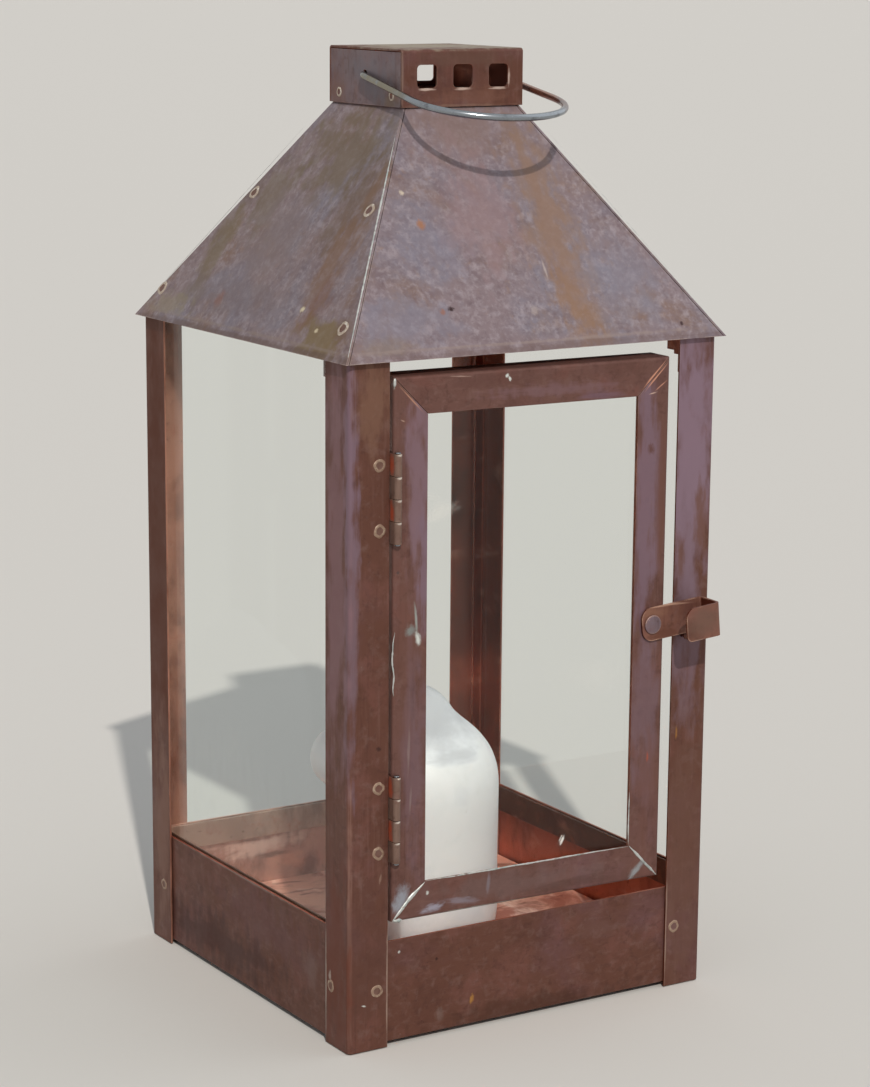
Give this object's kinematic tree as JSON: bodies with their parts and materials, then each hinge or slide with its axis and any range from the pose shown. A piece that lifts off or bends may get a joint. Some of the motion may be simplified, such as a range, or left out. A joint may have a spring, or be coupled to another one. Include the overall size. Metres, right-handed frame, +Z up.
{
  "type": "candle lantern",
  "caption": "Square sheet-copper candle lantern with glazed sides, a hinged latching door, hipped roof, vented chimney and wire carrying bow.",
  "frame": {"origin": "on the ground, at the middle of the four posts' feet", "axes": "+Z up; the door faces -Y; +X to the right seen from the door side, towards the latch"},
  "size_m": [0.1902, 0.2083, 0.415],
  "materials": {
    "weathered_copper": "weathered brown copper sheet, satin with a thin purple haze",
    "roof_copper": "weathered mauve-brown copper sheet with grey-blue bloom",
    "bright_copper": "less weathered red copper, worn bright",
    "bare_steel": "drawn steel wire, bare and slightly worn",
    "window_glass": "clear sheet glass",
    "wax": "pale wax, softly translucent",
    "charred_cotton": "cotton cord"
  },
  "bodies": {
    "housing": {"post_front_left": "weathered_copper", "post_front_right": "weathered_copper", "post_rear_left": "weathered_copper", "post_rear_right": "weathered_copper", "skirt_front": "weathered_copper", "skirt_rear": "weathered_copper", "skirt_left": "weathered_copper", "skirt_right": "weathered_copper", "floor_pan": "bright_copper", "pane_strip_left": "weathered_copper", "pane_strip_right": "weathered_copper", "pane_strip_rear": "weathered_copper", "pane_left": "window_glass", "pane_right": "window_glass", "pane_rear": "window_glass", "pane_top_strip_left": "weathered_copper", "pane_top_strip_right": "weathered_copper", "pane_top_strip_rear": "weathered_copper", "roof_front": "roof_copper", "roof_rear": "roof_copper", "roof_left": "roof_copper", "roof_right": "roof_copper", "roof_bracket_left": "weathered_copper", "roof_bracket_right": "weathered_copper", "chimney_strap": "weathered_copper", "chimney_side_left": "weathered_copper", "chimney_side_right": "weathered_copper", "hinge_upper_post_leaf": "bright_copper", "hinge_lower_post_leaf": "bright_copper", "hinge_upper_pin": "bare_steel", "hinge_lower_pin": "bare_steel", "keeper_stud": "weathered_copper"},
    "door": {"door_stile_left": "weathered_copper", "door_stile_right": "weathered_copper", "door_rail_top": "weathered_copper", "door_rail_bottom": "weathered_copper", "door_bead_stile_left": "weathered_copper", "door_bead_stile_right": "weathered_copper", "door_bead_rail_top": "weathered_copper", "door_bead_rail_bottom": "weathered_copper", "door_pane": "window_glass", "hinge_upper_door_leaf": "bright_copper", "hinge_lower_door_leaf": "bright_copper", "latch_rivet": "weathered_copper"},
    "latch": {"latch_strap": "weathered_copper"},
    "bow": {"carrying_bow": "bare_steel"},
    "candle": {"candle": "wax", "candle_wick": "charred_cotton"}
  },
  "joints": [
    {"name": "door_hinge", "type": "hinge", "parent": "housing", "child": "door", "pos_m": [-0.0706, -0.0948, 0.1691], "axis": [0, 0, -1], "range_deg": [-2.1, 175]},
    {"name": "latch_pivot", "type": "hinge", "parent": "door", "child": "latch", "pos_m": [0.05658, -0.09766, 0.1709], "axis": [-0.0366, -0.9993, 0], "range_deg": [-13.7, 170]},
    {"name": "bow_pivot", "type": "hinge", "parent": "housing", "child": "bow", "pos_m": [0, 0, 0.4036], "axis": [-1, 0, 0], "range_deg": [-16, 218]},
    {"name": "candle_lift", "type": "slide", "parent": "housing", "child": "candle", "axis": [0, 0, 1], "range_m": [0, 0.06]}
  ]
}
